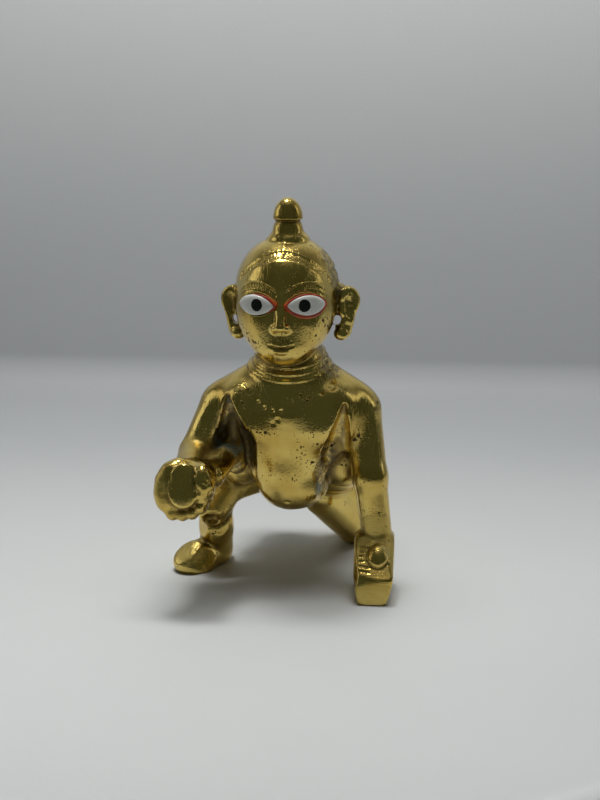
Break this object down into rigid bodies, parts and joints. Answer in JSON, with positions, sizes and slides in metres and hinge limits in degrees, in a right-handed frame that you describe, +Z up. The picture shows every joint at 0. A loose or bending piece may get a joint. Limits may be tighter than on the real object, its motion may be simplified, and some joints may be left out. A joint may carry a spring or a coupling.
{
  "type": "crawling child figurine",
  "caption": "Small solid brass figurine of a crawling child deity holding out a sweet in one hand, with enamelled almond eyes set in its face and a topknot of hair",
  "frame": {"origin": "on the ground, under the middle of the bounding box", "axes": "+Z up; the figure faces -Y, and its own left hand side is at +X"},
  "size_m": [0.0505, 0.0734, 0.085],
  "materials": {
    "brass": "hand-filed and polished, with casting pits and some tarnish",
    "enamel": "glossy white enamel with a black pupil and a red rim"
  },
  "bodies": {
    "root": {"idol_figure": "brass", "eye_right": "enamel", "eye_left": "enamel"}
  },
  "joints": []
}
